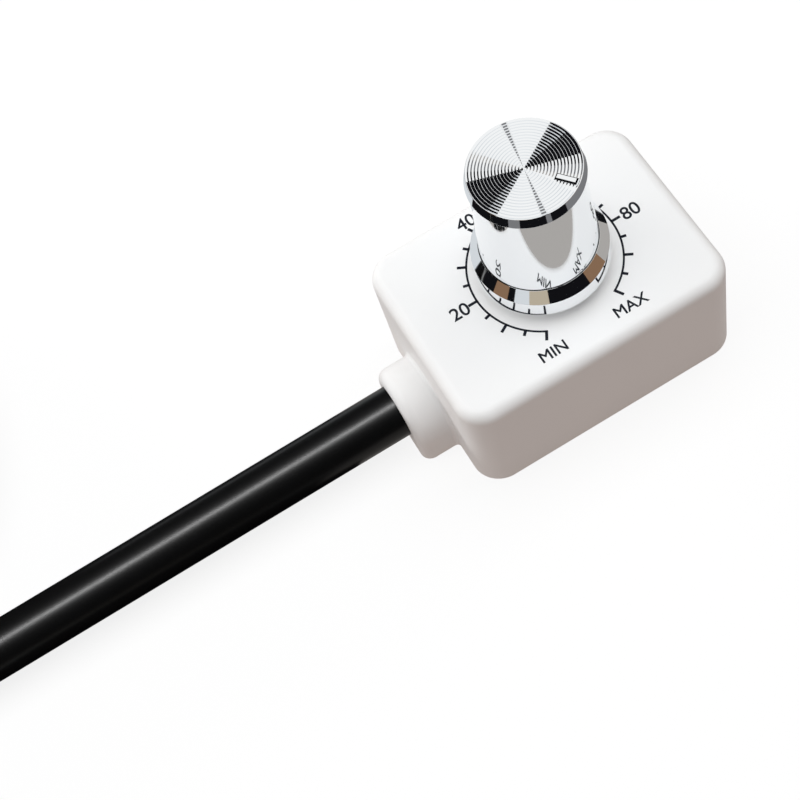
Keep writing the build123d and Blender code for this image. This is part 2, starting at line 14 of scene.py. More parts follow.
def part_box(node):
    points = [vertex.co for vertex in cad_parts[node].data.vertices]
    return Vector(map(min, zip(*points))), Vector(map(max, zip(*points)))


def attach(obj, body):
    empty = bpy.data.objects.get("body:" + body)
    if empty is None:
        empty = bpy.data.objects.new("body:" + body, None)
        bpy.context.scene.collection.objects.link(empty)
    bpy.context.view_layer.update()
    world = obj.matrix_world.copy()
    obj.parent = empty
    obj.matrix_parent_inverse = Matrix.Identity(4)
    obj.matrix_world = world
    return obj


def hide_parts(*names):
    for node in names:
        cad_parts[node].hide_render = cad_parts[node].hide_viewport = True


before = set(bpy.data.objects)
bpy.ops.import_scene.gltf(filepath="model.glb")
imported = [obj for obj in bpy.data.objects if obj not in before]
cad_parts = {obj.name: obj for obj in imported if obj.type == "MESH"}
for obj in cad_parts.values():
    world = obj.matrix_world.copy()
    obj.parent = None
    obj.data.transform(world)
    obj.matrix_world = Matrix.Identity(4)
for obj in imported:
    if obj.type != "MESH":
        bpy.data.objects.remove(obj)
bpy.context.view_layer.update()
MM = 0.001
WELD_DISTANCE = 1e-8
LOG = logging.getLogger("dimmer")


class Body(Enum):
    """Rigid bodies of the dimmer, by the names in its record."""

    HOUSING = "housing"
    CONTROL = "control"


class Slot(Enum):
    """Material slots of the record; no piece in this script takes its finish from them."""

    PLATING = "knob_plating"
    JACKET = "jacket_black"
    ZINC = "zinc_steel"


class Tick(Enum):
    """Ticks longer than the short ones, each with how many steps of the scale lie between two of them."""

    MEDIUM = 2
    LONG = 4


def linear(colour: str) -> tuple[float, float, float, float]:
    """Turns an sRGB hex value into linear light.

    Args:
        colour: six hex digits after a hash sign.

    Returns:
        Linear red, green and blue, and an alpha of 1.
    """
    shares = [int(colour[start:start + 2], 16) / 255 for start in (1, 3, 5)]
    light = [share / 12.92 if share <= 0.04045 else ((share + 0.055) / 1.055) ** 2.4 for share in shares]
    return (light[0], light[1], light[2], 1.0)


def feed(node: bpy.types.Node, inputs: Mapping[str | int, object]) -> None:
    """Sets or links inputs of a node.

    Args:
        node: shader or geometry node.
        inputs: values by input name or number; a socket is linked, so is a node by its first output, and
            anything else is set.
    """
    for name, value in inputs.items():
        source = value.outputs[0] if isinstance(value, bpy.types.Node) else value
        if isinstance(source, bpy.types.NodeSocket):
            node.id_data.links.new(source, node.inputs[name])
        else:
            node.inputs[name].default_value = source


def add_node(
    tree: bpy.types.NodeTree,
    kind: str,
    inputs: Mapping[str | int, object] | None = None,
    **settings: object,
) -> bpy.types.Node:
    """Adds a node with its settings and links.

    Args:
        tree: shader or geometry tree that gets the node.
        kind: Blender's name for the node type.
        inputs: values and links of its inputs, as feed takes them.
        settings: attributes of the node by name.

    Returns:
        The new node.
    """
    node = tree.nodes.new(kind)
    for name, value in settings.items():
        setattr(node, name, value)
    feed(node, inputs or {})
    return node


def new_tree(name: str, inputs: Mapping[str, str]) -> bpy.types.NodeTree:
    """Starts a geometry tree.

    Args:
        name: the tree's name.
        inputs: kind of each input by its name, such as Float or Vector.

    Returns:
        The tree, with its inputs and a geometry output.
    """
    tree = bpy.data.node_groups.new(name, "GeometryNodeTree")
    for label, kind in inputs.items():
        tree.interface.new_socket(label, in_out="INPUT", socket_type=f"NodeSocket{kind}")
    tree.interface.new_socket("Geometry", in_out="OUTPUT", socket_type="NodeSocketGeometry")
    return tree


def link_object(name: str, data: bpy.types.ID) -> bpy.types.Object:
    """Makes an object from data and links it to the scene.

    Args:
        name: the object's name.
        data: mesh, curve, light or camera.

    Returns:
        The linked object, at the origin.
    """
    made = bpy.data.objects.new(name, data)
    bpy.context.scene.collection.objects.link(made)
    return made


def box_middle(low: Vector, high: Vector, level: float) -> Vector:
    """Gives the middle of a box as seen from above, at a level."""
    return Vector(((low.x + high.x) / 2, (low.y + high.y) / 2, level))


def way(angle: float) -> Vector:
    """Gives the level direction at an angle from +X."""
    return Vector((math.cos(angle), math.sin(angle), 0.0))


def spun(section: Sequence[tuple[float, float]], axis: Vector, angles: Sequence[float]) -> list[Vector]:
    """Turns a section, in millimetres of radius and height, to each angle about an upright axis in metres."""
    return [axis + (way(angle) * radius + Vector((0.0, 0.0, height))) * MM
            for angle in angles for radius, height in section]


def ring_faces(
    rings: int, corners: int, closed: bool = False, capped: bool = False, first: int = 0,
) -> list[tuple[int, ...]]:
    """Joins rings, whose corners are numbered one ring after the other, by four-sided faces.

    Args:
        rings: how many rings there are.
        corners: how many corners each ring has.
        closed: whether the last ring joins the first.
        capped: whether the first and last rings get a face of their own.
        first: number of the first corner.

    Returns:
        Corner numbers of each face.
    """
    faces: list[tuple[int, ...]] = []
    for ring in range(rings if closed else rings - 1):
        here, ahead = first + corners * ring, first + corners * ((ring + 1) % rings)
        for corner in range(corners):
            after = (corner + 1) % corners
            faces.append((here + corner, here + after, ahead + after, ahead + corner))
    if capped:
        last = first + corners * (rings - 1)
        faces += [tuple(range(first, first + corners)), tuple(range(last, last + corners))]
    return faces


def closed_mesh(name: str, vertices: Sequence[Vector], faces: Sequence[Sequence[int]]) -> bpy.types.Mesh:
    """Makes a mesh with outward faces, its doubled corners welded and its open rims filled.

    Args:
        name: the mesh's name.
        vertices: places in metres.
        faces: corner numbers of each face.

    Returns:
        The mesh.
    """
    mesh = bpy.data.meshes.new(name)
    mesh.from_pydata(vertices, [], faces)
    work = bmesh.new()
    work.from_mesh(mesh)
    bmesh.ops.remove_doubles(work, verts=work.verts, dist=WELD_DISTANCE)
    rims = [edge for edge in work.edges if edge.is_boundary]
    if rims:
        bmesh.ops.triangle_fill(work, edges=rims, use_beauty=True)
    bmesh.ops.recalc_face_normals(work, faces=work.faces)
    work.to_mesh(mesh)
    work.free()
    return mesh


def piece_of(mesh: bpy.types.Mesh, material: bpy.types.Material) -> bpy.types.Object:
    """Makes a piece of one finish from a mesh.

    Args:
        mesh: the piece's mesh, in the shared frame, which also gives it its name.
        material: finish of all its faces.

    Returns:
        The piece, at the origin.
    """
    mesh.materials.clear()
    mesh.materials.append(material)
    return link_object(mesh.name, mesh)


def plain_mesh(piece: bpy.types.Object, name: str) -> bpy.types.Mesh:
    """Evaluates a piece with its modifiers into a plain mesh.

    Args:
        piece: object to evaluate.
        name: name of the new mesh.

    Returns:
        The evaluated mesh.
    """
    evaluated = piece.evaluated_get(bpy.context.evaluated_depsgraph_get())
    mesh = bpy.data.meshes.new_from_object(evaluated)
    mesh.name = name
    return mesh


def grown_piece(
    name: str,
    tree: bpy.types.NodeTree,
    values: Mapping[str, object],
    material: bpy.types.Material,
    seed: bpy.types.Mesh | None = None,
) -> bpy.types.Object:
    """Runs a geometry tree on a seed mesh and keeps its result as a plain mesh.

    Args:
        name: the piece's name.
        tree: geometry tree with named inputs.
        values: value of each input by its name.
        material: finish of the piece.
        seed: mesh that the tree starts from, or nothing.

    Returns:
        The piece, at the origin, with no modifier.
    """
    grower = link_object(name + "_grower", seed or bpy.data.meshes.new(name + "_seed"))
    modifier = grower.modifiers.new(name, "NODES")
    modifier.node_group = tree
    for socket in tree.interface.items_tree:
        if socket.in_out == "INPUT" and socket.name in values:
            modifier[socket.identifier] = values[socket.name]
    mesh = plain_mesh(grower, name)
    bpy.data.objects.remove(grower)
    return piece_of(mesh, material)


@dataclass(frozen=True)
class MouldedPlastic:
    """Thermoplastic from a spark-eroded mould: one colour with a faint bloom and a fine satin grain."""

    name: str
    colour: str
    bloom: str
    roughness: float
    bloom_mm: float = 9.0
    grain_mm: float = 0.28
    grain_height_mm: float = 0.004
    specular: float = 0.5
    gloss_spread: float = 0.1

    def material(self) -> bpy.types.Material:
        """Builds the material.

        Returns:
            A material whose colour, roughness and bump vary with Object coordinates.
        """
        made = bpy.data.materials.new(self.name)
        made.use_nodes = True
        tree = made.node_tree
        place = add_node(tree, "ShaderNodeTexCoord").outputs["Object"]
        cloud = add_node(tree, "ShaderNodeTexNoise",
                         {"Vector": place, "Scale": 1 / (self.bloom_mm * MM), "Detail": 3.0})
        grain = add_node(tree, "ShaderNodeTexNoise",
                         {"Vector": place, "Scale": 1 / (self.grain_mm * MM), "Detail": 2.0})
        tint = add_node(tree, "ShaderNodeMix",
                        {0: cloud, 6: linear(self.colour), 7: linear(self.bloom)}, data_type="RGBA")
        spread = self.roughness * self.gloss_spread
        gloss = add_node(tree, "ShaderNodeMapRange",
                         {0: grain, 3: self.roughness - spread, 4: self.roughness + spread})
        bump = add_node(tree, "ShaderNodeBump",
                        {"Height": grain, "Strength": 0.5, "Distance": self.grain_height_mm * MM})
        feed(tree.nodes["Principled BSDF"], {"Base Color": tint.outputs[2], "Roughness": gloss, "Normal": bump,
                                             "Specular IOR Level": self.specular})
        return made


@dataclass(frozen=True)
class BrightMetal:
    """Plated, turned or rolled metal: a coloured mirror that a fine haze breaks up."""

    name: str
    colour: str
    roughness: float
    haze: float
    haze_mm: float

    def material(self) -> bpy.types.Material:
        """Builds the material.

        Returns:
            A metal whose roughness varies with Object coordinates.
        """
        made = bpy.data.materials.new(self.name)
        made.use_nodes = True
        tree = made.node_tree
        place = add_node(tree, "ShaderNodeTexCoord").outputs["Object"]
        cloud = add_node(tree, "ShaderNodeTexNoise",
                         {"Vector": place, "Scale": 1 / (self.haze_mm * MM), "Detail": 4.0})
        gloss = add_node(tree, "ShaderNodeMapRange",
                         {0: cloud, 3: self.roughness, 4: self.roughness + self.haze})
        feed(tree.nodes["Principled BSDF"],
             {"Base Color": linear(self.colour), "Metallic": 1.0, "Roughness": gloss})
        return made


class Finishes:
    """Every finish of the dimmer, made once."""

    def __init__(self) -> None:
        """Builds the materials."""
        # White ABS, satin from the mould: bright, with soft broad highlights.
        self.shell = MouldedPlastic("satin_white_abs", "#ECECEB", "#E9E9E9", 0.42).material()
        # Decorative chromium over moulded ABS: a clear, faintly cool mirror.
        self.plating = BrightMetal("chromium_plating", "#F3F5F7", 0.03, 0.03, 3.0).material()
        # Painted shade: a dark matt finish that draws a shade line in the recess at the knob body's foot and on
        # the pointer's sides.
        self.painted_shade_line = BrightMetal("burnt_plating", "#17171A", 0.5, 0.2, 0.8).material()
        # Screen-printed ink: flat, nearly black with a blue cast.
        self.ink = MouldedPlastic("scale_ink", "#15171F", "#1D2029", 0.6, bloom_mm=1.5, grain_mm=0.15,
                                  grain_height_mm=0.002, specular=0.3).material()
        # Extruded PVC jacket: deep black with a dull skin that keeps one soft streak of light.
        self.jacket = MouldedPlastic("pvc_jacket", "#080808", "#0C0C0D", 0.31, bloom_mm=4.0, grain_mm=0.35,
                                     grain_height_mm=0.006, specular=0.3).material()
        # Zinc-plated steel: bright grey, slightly clouded.
        self.zinc = BrightMetal("zinc_plated_steel", "#C4C8CC", 0.22, 0.18, 1.2).material()
        # Turned aluminium: paler and softer than the zinc.
        self.alloy = BrightMetal("turned_aluminium", "#D6D8DA", 0.26, 0.12, 0.8).material()
        # Tinned brass and copper: warm pale grey.
        self.tin = BrightMetal("tinned_brass", "#CFCABC", 0.3, 0.15, 0.6).material()
        # Paper phenolic laminate: brown and fibrous.
        self.laminate = MouldedPlastic("paper_phenolic", "#8A5A32", "#6E4524", 0.5, bloom_mm=1.2, grain_mm=0.2,
                                       grain_height_mm=0.01).material()
        # Glass-filled nylon and shrink sleeve: plain black mouldings.
        self.carrier = MouldedPlastic("black_nylon", "#161616", "#1E1E1F", 0.45).material()
        # Cable ties: black nylon, a little glossier.
        self.tie = MouldedPlastic("tie_nylon", "#1A1A1B", "#222223", 0.35).material()
        # PVC core insulation, white and black: smooth and waxy.
        self.core_white = MouldedPlastic("core_white_pvc", "#E4E3DE", "#DAD9D3", 0.35).material()
        self.core_black = MouldedPlastic("core_black_pvc", "#141415", "#1B1B1C", 0.35).material()


def dress(finish: bpy.types.Material, *nodes: str) -> None:
    """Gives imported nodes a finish.

    Args:
        finish: material for all of them.
        nodes: node names.
    """
    for node in nodes:
        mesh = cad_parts[node].data
        mesh.materials.clear()
        mesh.materials.append(finish)
        LOG.info("dressed %s with %s", node, finish.name)


@dataclass
class PhotoCamera:
    """Camera that looks down on the front left corner, rolled as the picture is; places in millimetres."""

    position: tuple[float, float, float] = (-39.128, -100.717, 207.064)
    aim: tuple[float, float, float] = (-24.42, -5.56, 18.7)
    roll_deg: float = -22.94
    lens_mm: float = 76.825
    sensor_mm: float = 36.0
    clip_near: float = 5.0
    clip_far: float = 20000.0

    def build(self) -> None:
        """Adds the camera and makes it the scene's own."""
        data = bpy.data.cameras.new("photo_camera")
        data.lens = self.lens_mm
        data.sensor_width = self.sensor_mm
        data.clip_start = self.clip_near * MM
        data.clip_end = self.clip_far * MM
        camera = link_object("photo_camera", data)
        forward = Vector(self.aim) - Vector(self.position)
        turn = forward.to_track_quat("-Z", "Y").to_matrix().to_4x4()
        roll = Matrix.Rotation(math.radians(self.roll_deg), 4, "Z")
        camera.matrix_world = Matrix.Translation(Vector(self.position) * MM) @ turn @ roll
        bpy.context.scene.camera = camera


@dataclass
class CableLead:
    """Free length of the cable: a straight run, then a flat coil of two lanes; sizes in millimetres."""

    finishes: Finishes
    exit: tuple[float, float, float] = (-24.5, 0.0, 5.5)
    diameter: float = 7.3
    lead_run: float = 93.5
    coil_level: float = 4.65
    outer_lane: float = 40.15
    inner_lane: float = 32.85
    jog_start: float = 280.0
    inner_end: float = 570.0
    ring_steps: int = 24
    end_radius: float = 28.0
    end_turn: float = 50.0
    end_steps: int = 2
    line_steps: int = 10
    round_steps: int = 10

    def lane(self, turn: float) -> float:
        """Gives the coil's radius after a turn.

        Args:
            turn: clockwise degrees from where the run joins the coil.

        Returns:
            The radius of the cable's axis: outer lane, jog or inner lane.
        """
        share = min(1.0, max(0.0, (turn - self.jog_start) / (360.0 - self.jog_start)))
        return self.outer_lane + (self.inner_lane - self.outer_lane) * share * share * (3 - 2 * share)

    @staticmethod
    def at(centre: Vector, radius: float, turn: float) -> Vector:
        """Gives the point at a radius and clockwise turn about a centre."""
        return centre + radius * way(math.radians(-90.0 - turn))

    def route(self) -> list[Vector]:
        """Works out the control points, which stand outside the turns as a polygon stands round a circle.

        Returns:
            Points in millimetres from the collar to the loose end.
        """
        start = Vector(self.exit)
        join = Vector((start.x - self.lead_run, start.y, self.coil_level))
        centre = join + Vector((0.0, self.outer_lane, 0.0))
        step = self.inner_end / self.ring_steps
        spread = 1 / math.cos(math.radians(step / 2))
        before = self.outer_lane * math.tan(math.radians(step / 2)) / self.lead_run
        points = [start, join.lerp(start, before)]
        for number in range(self.ring_steps):
            turn = (number + 0.5) * step
            points.append(self.at(centre, self.lane(turn) * spread, turn))
        end_centre = self.at(centre, self.inner_lane - self.end_radius, self.inner_end)
        end_step = self.end_turn / self.end_steps
        end_spread = 1 / math.cos(math.radians(end_step / 2))
        for number in range(self.end_steps):
            turn = self.inner_end + (number + 0.5) * end_step
            points.append(self.at(end_centre, self.end_radius * end_spread, turn))
        points.append(self.at(end_centre, self.end_radius, self.inner_end + self.end_turn))
        return points

    def length(self) -> float:
        """Adds up the run, both lanes, the jog and the loose end.

        Returns:
            The cable's length in millimetres.
        """
        middle = (self.outer_lane + self.inner_lane) / 2
        turns = (math.radians(self.jog_start) * self.outer_lane
                 + math.radians(360.0 - self.jog_start) * middle
                 + math.radians(self.inner_end - 360.0) * self.inner_lane)
        return self.lead_run + turns + math.radians(self.end_turn) * self.end_radius

    def build(self) -> None:
        """Makes the jacket as one smooth cord and dresses what is on it."""
        route = self.route()
        data = bpy.data.curves.new("cable_jacket", "CURVE")
        data.dimensions = "3D"
        spline = data.splines.new("NURBS")
        spline.points.add(len(route) - 1)
        for point, place in zip(spline.points, route):
            point.co = (*(place * MM), 1.0)
        spline.order_u = 3
        spline.use_endpoint_u = True
        spline.resolution_u = self.line_steps
        data.bevel_depth = self.diameter / 2 * MM
        data.bevel_resolution = self.round_steps
        data.use_fill_caps = True
        data.materials.append(self.finishes.jacket)
        jacket = link_object("cable_jacket", data)
        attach(jacket, Body.HOUSING.value)
        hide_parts("cable", "cable_coil")
        self.length() * MM
        dress(self.finishes.tie, "coil_tie")
        dress(self.finishes.core_black, "lead_black")
        dress(self.finishes.core_white, "lead_white")
        dress(self.finishes.tin, "lead_tips")
        LOG.info("built cable_jacket, %.0f mm long", self.length())


@dataclass
class PlatedKnob:
    """Turned form of the knob; radii from its axis and heights above the box top, in millimetres."""

    finishes: Finishes
    foot: float = 2.0
    flange_radius: float = 8.75
    flange_top_radius: float = 8.72
    flange_top: float = 4.64
    shoulder_top: float = 6.18
    shoulder_radius: float = 7.6
    recess_radius: float = 7.34
    recess_height: float = 0.12
    body_foot_radius: float = 7.5
    body_neck_radius: float = 6.88
    rim_low: float = 20.45
    rim_radius: float = 7.26
    rim_top_radius: float = 6.92
    top: float = 21.9
    skirt_radius: float = 7.2
    skirt_depth: float = 3.0
    cavity_radius: float = 5.6
    ceiling: float = 1.8
    land: float = 6.85
    groove_count: int = 17
    groove_pitch: float = 0.396
    groove_depth: float = 0.09
    crest_share: float = 0.08
    pointer_start: float = 3.9
    pointer_end: float = 6.6
    pointer_width: float = 0.9
    pointer_slope: float = 0.18
    pointer_sill: float = 0.02
    pointer_height: float = 0.2
    pointer_angle: float = -52.0
    foot_rounding: float = 0.15
    flange_rounding: float = 0.08
    shoulder_rounding: float = 0.03
    lip_rounding: float = 0.02
    rim_rounding: float = 0.06
    flat_from: float = 1.3
    face_slack: float = 0.01
    segments: int = 216
    round_steps: int = 5

    def rounded(self, corners: Sequence[tuple[float, float, float]]) -> list[tuple[float, float]]:
        """Rounds the corners of an open outline.

        Args:
            corners: radius, height and rounding of each corner.

        Returns:
            Points of the outline, with an arc in place of each rounded corner.
        """
        points: list[tuple[float, float]] = []
        for number, (radius, height, rounding) in enumerate(corners):
            here = Vector((radius, height))
            if rounding == 0.0:
                points.append((radius, height))
                continue
            back = (Vector(corners[number - 1][:2]) - here).normalized()
            ahead = (Vector(corners[number + 1][:2]) - here).normalized()
            half = back.angle(ahead) / 2
            reach = rounding / math.tan(half)
            centre = here + (back + ahead).normalized() * (rounding / math.sin(half))
            first = here + back * reach - centre
            last = here + ahead * reach - centre
            # A point a little beyond each end of the arc keeps the flats flat in smooth shading.
            points.append(tuple(here + back * reach * self.flat_from))
            for step in range(self.round_steps + 1):
                spoke = first.slerp(last, step / self.round_steps).normalized()
                points.append(tuple(centre + spoke * rounding))
            points.append(tuple(here + ahead * reach * self.flat_from))
        return points

    def outline(self) -> list[tuple[float, float]]:
        """Draws the half section from the skirt up the outside, over the top and down the hollow.

        Returns:
            Radius and height of each point, the last joined to the first.
        """
        outside = self.rounded([
            (self.skirt_radius, self.foot, 0.0),
            (self.flange_radius, self.foot, self.foot_rounding),
            (self.flange_top_radius, self.flange_top, self.flange_rounding),
            (self.shoulder_radius, self.shoulder_top, self.shoulder_rounding),
            (self.recess_radius, self.shoulder_top, 0.0),
            (self.recess_radius, self.shoulder_top + self.recess_height, 0.0),
            (self.body_foot_radius, self.shoulder_top + self.recess_height, self.lip_rounding),
            (self.body_neck_radius, self.rim_low, self.rim_rounding),
            (self.rim_radius, self.rim_low, self.rim_rounding),
            (self.rim_top_radius, self.top, self.rim_rounding),
            (self.land, self.top, 0.0),
        ])
        top = []
        for number in range(self.groove_count):
            start = self.land - number * self.groove_pitch
            top += [(start - self.groove_pitch * self.crest_share, self.top),
                    (start - self.groove_pitch * (1 + self.crest_share) / 2, self.top - self.groove_depth),
                    (start - self.groove_pitch, self.top)]
        ceiling = self.top - self.ceiling
        skirt_level = self.foot + self.skirt_depth
        inside = [(0.0, self.top), (0.0, ceiling), (self.cavity_radius, ceiling),
                  (self.cavity_radius, skirt_level), (self.skirt_radius, skirt_level)]
        return outside + top + inside

    def build(self) -> None:
        """Spins the outline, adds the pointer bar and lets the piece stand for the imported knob."""
        axis = box_middle(*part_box("knob"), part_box("upper_shell")[1].z)
        outline = self.outline()
        rows = len(outline)
        angles = [2 * math.pi * segment / self.segments for segment in range(self.segments)]
        # The stretch of the outline that lies on the axis makes no face.
        faces = [face for face in ring_faces(self.segments, rows, closed=True)
                 if any(outline[corner % rows][0] > 0.0 for corner in face)]
        vertices = spun(outline, axis, angles)
        bar = self.pointer()
        faces += ring_faces(len(bar) // 4, 4, capped=True, first=len(vertices))
        vertices += [axis + corner * MM for corner in bar]
        knob = piece_of(closed_mesh("knob_plated", vertices, faces), self.finishes.plating)
        self.finish_faces(knob.data, axis)
        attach(knob, Body.CONTROL.value)
        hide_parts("knob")
        LOG.info("built knob_plated with %d faces", len(knob.data.polygons))

    def pointer(self) -> list[Vector]:
        """Draws the raised bar that points at the scale.

        Returns:
            Its corners from the knob's axis, four at each level from the grooves up.
        """
        middle = (self.pointer_start + self.pointer_end) / 2
        turn = Matrix.Rotation(math.radians(self.pointer_angle), 3, "Z")
        levels = ((-self.groove_depth, 0.0), (self.pointer_sill, 0.0),
                  (self.pointer_height, self.pointer_slope))
        corners = []
        for height, inset in levels:
            along = (self.pointer_end - self.pointer_start) / 2 - inset
            across = self.pointer_width / 2 - inset
            corners += [turn @ Vector((middle + x * along, y * across, self.top + height))
                        for x, y in ((-1, -1), (1, -1), (1, 1), (-1, 1))]
        return corners

    def finish_faces(self, mesh: bpy.types.Mesh, axis: Vector) -> None:
        """Paints shade on the recess at the body's foot and the pointer's sides with a dark matt finish, and
        keeps the faces of the top flat.

        Args:
            mesh: the knob's mesh.
            axis: foot of the knob's axis, on the box top.
        """
        # The second slot holds the dark matt finish of painted shade.
        mesh.materials.append(self.finishes.painted_shade_line)
        slack = self.face_slack
        for face in mesh.polygons:
            place = (face.center - axis) / MM
            radius = place.xy.length
            above = place.z - self.shoulder_top
            in_recess = (-slack < above < self.recess_height + slack
                         and radius < self.shoulder_radius - 2 * slack)
            on_wall = radius > self.body_foot_radius - slack and above > self.recess_height - slack
            on_pointer = slack < place.z - self.top < self.pointer_height - slack
            # Painted shade: faces of the recess and of the pointer's sides take the dark matt finish.
            face.material_index = int(on_pointer or in_recess and not on_wall)
            face.use_smooth = not (radius < self.land and place.z > self.top - self.groove_depth)


@dataclass
class ScalePrint:
    """Printed scale on the box top: arc, ticks, numbers and words; sizes in millimetres."""

    finishes: Finishes
    centre: tuple[float, float] = (0.55, 0.88)
    arc_radius: float = 10.0
    arc_width: float = 0.27
    arc_steps: int = 180
    tick_width: float = 0.38
    long_tick: float = 1.4
    medium_tick: float = 1.34
    short_tick: float = 0.93
    tick_steps: int = 20
    start_deg: float = -120.0
    sweep_deg: float = -300.0
    ink_height: float = 0.02
    ink_sunk: float = 0.01
    number_height: float = 1.9
    word_height: float = 1.55
    cap_share: float = 0.73
    stroke_gain: float = 0.03

    def labels(self) -> list[tuple[str, float, float, float]]:
        """Lists the labels of the scale.

        Returns:
            Each label's words, its middle from the scale's own, and its height.
        """
        return [
            ("MIN", -5.75, -11.5, self.word_height),
            ("MAX", 5.57, -11.46, self.word_height),
            ("20", -12.56, -0.07, self.number_height),
            ("40", -5.35, 10.8, self.number_height),
            ("60", 5.5, 10.8, self.number_height),
            ("80", 12.78, 0.0, self.number_height),
        ]

    def axis(self) -> Vector:
        """Gives the middle of the scale, on the box top, in metres."""
        return Vector((self.centre[0] * MM, self.centre[1] * MM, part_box("upper_shell")[1].z))

    def build(self) -> None:
        """Prints the arc, the ticks and the labels on the box top."""
        for piece in (self.arc(), self.ticks(), self.lettering()):
            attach(piece, Body.HOUSING.value)
            LOG.info("built %s", piece.name)

    def arc(self) -> bpy.types.Object:
        """Makes the arc as a thin closed band.

        Returns:
            The arc.
        """
        inner, outer = self.arc_radius - self.arc_width / 2, self.arc_radius + self.arc_width / 2
        section = [(inner, -self.ink_sunk), (outer, -self.ink_sunk),
                   (outer, self.ink_height), (inner, self.ink_height)]
        angles = [math.radians(self.start_deg + self.sweep_deg * step / self.arc_steps)
                  for step in range(self.arc_steps + 1)]
        faces = ring_faces(len(angles), len(section), capped=True)
        return piece_of(closed_mesh("scale_arc", spun(section, self.axis(), angles), faces), self.finishes.ink)

    def tick_tree(self) -> bpy.types.NodeTree:
        """Builds the node tree that sets ticks out round the arc, long, medium and short in turn.

        Returns:
            A geometry tree with named inputs.
        """
        tree = new_tree("scale_ticks", {
            "Steps": "Int", "Start": "Float", "Sweep": "Float", "Radius": "Float", "Width": "Float",
            "Thickness": "Float", "Long": "Float", "Medium": "Float", "Short": "Float", "Centre": "Vector",
            "Ink": "Material",
        })
        given = add_node(tree, "NodeGroupInput").outputs
        index = add_node(tree, "GeometryNodeInputIndex")
        count = add_node(tree, "ShaderNodeMath", {0: given["Steps"], 1: 1.0}, operation="ADD")
        line = add_node(tree, "GeometryNodeMeshLine", {"Count": count})
        share = add_node(tree, "ShaderNodeMath", {0: index, 1: given["Steps"]}, operation="DIVIDE")
        angle = add_node(tree, "ShaderNodeMath",
                         {0: share, 1: given["Sweep"], 2: given["Start"]}, operation="MULTIPLY_ADD")
        length: bpy.types.NodeSocket | bpy.types.Node = given["Short"]
        for kind in Tick:
            left = add_node(tree, "ShaderNodeMath", {0: index, 1: float(kind.value)}, operation="MODULO")
            hit = add_node(tree, "FunctionNodeCompare",
                           {0: left, 1: 0.5}, data_type="FLOAT", operation="LESS_THAN")
            length = add_node(tree, "GeometryNodeSwitch",
                              {0: hit, 1: length, 2: given[kind.name.title()]}, input_type="FLOAT")
        radius = add_node(tree, "ShaderNodeMath",
                          {0: length, 1: 0.5, 2: given["Radius"]}, operation="MULTIPLY_ADD")
        cosine = add_node(tree, "ShaderNodeMath", {0: angle}, operation="COSINE")
        sine = add_node(tree, "ShaderNodeMath", {0: angle}, operation="SINE")
        heading = add_node(tree, "ShaderNodeCombineXYZ", {0: cosine, 1: sine})
        out = add_node(tree, "ShaderNodeVectorMath", {0: heading, "Scale": radius}, operation="SCALE")
        place = add_node(tree, "ShaderNodeVectorMath", {0: out, 1: given["Centre"]}, operation="ADD")
        points = add_node(tree, "GeometryNodeSetPosition", {"Geometry": line, "Position": place})
        block = add_node(tree, "GeometryNodeMeshCube", {"Size": (1.0, 1.0, 1.0)})
        turn = add_node(tree, "ShaderNodeCombineXYZ", {2: angle})
        size = add_node(tree, "ShaderNodeCombineXYZ", {0: length, 1: given["Width"], 2: given["Thickness"]})
        ticks = add_node(tree, "GeometryNodeInstanceOnPoints",
                         {"Points": points, "Instance": block, "Rotation": turn, "Scale": size})
        real = add_node(tree, "GeometryNodeRealizeInstances", {0: ticks})
        inked = add_node(tree, "GeometryNodeSetMaterial", {0: real, "Material": given["Ink"]})
        add_node(tree, "NodeGroupOutput", {0: inked})
        return tree

    def ticks(self) -> bpy.types.Object:
        """Sets the ticks out round the arc.

        Returns:
            All ticks as one plain mesh.
        """
        thickness = self.ink_height + self.ink_sunk
        inner = self.arc_radius - self.arc_width / 2
        middle = self.axis() + Vector((0.0, 0.0, (self.ink_height - self.ink_sunk) / 2 * MM))
        values = {
            "Steps": self.tick_steps, "Start": math.radians(self.start_deg),
            "Sweep": math.radians(self.sweep_deg), "Radius": inner * MM, "Width": self.tick_width * MM,
            "Thickness": thickness * MM, "Long": self.long_tick * MM, "Medium": self.medium_tick * MM,
            "Short": self.short_tick * MM, "Centre": middle, "Ink": self.finishes.ink,
        }
        return grown_piece("scale_ticks", self.tick_tree(), values, self.finishes.ink)

    def lettering(self) -> bpy.types.Object:
        """Sets the numbers and words as thin closed letters.

        Returns:
            All labels as one plain mesh.
        """
        on_box = Matrix.Translation(self.axis()) @ Matrix.Scale(MM, 4)
        # Extrusion and bevel on both faces make the raw letters four gains thick.
        thin = (self.ink_height + self.ink_sunk) / (4 * self.stroke_gain)
        whole = bmesh.new()
        for words, along, across, height in self.labels():
            data = bpy.data.curves.new("label", "FONT")
            data.body = words
            data.align_x = "CENTER"
            data.align_y = "CENTER"
            data.size = height / self.cap_share
            data.extrude = self.stroke_gain
            data.bevel_depth = self.stroke_gain
            text = link_object("label", data)
            letters = plain_mesh(text, "label")
            bpy.data.objects.remove(text)
            tall = [vertex.co.y for vertex in letters.vertices]
            wide = [vertex.co.x for vertex in letters.vertices]
            middle = Vector(((max(wide) + min(wide)) / 2, (max(tall) + min(tall)) / 2, 0.0))
            fit = height / (max(tall) - min(tall))
            lift = Vector((along, across, (self.ink_height - self.ink_sunk) / 2))
            shape = Matrix.Diagonal((fit, fit, thin, 1.0)) @ Matrix.Translation(-middle)
            letters.transform(on_box @ Matrix.Translation(lift) @ shape)
            whole.from_mesh(letters)
            bpy.data.meshes.remove(letters)
        bmesh.ops.remove_doubles(whole, verts=whole.verts, dist=WELD_DISTANCE)
        mesh = bpy.data.meshes.new("scale_lettering")
        whole.to_mesh(mesh)
        whole.free()
        return piece_of(mesh, self.finishes.ink)


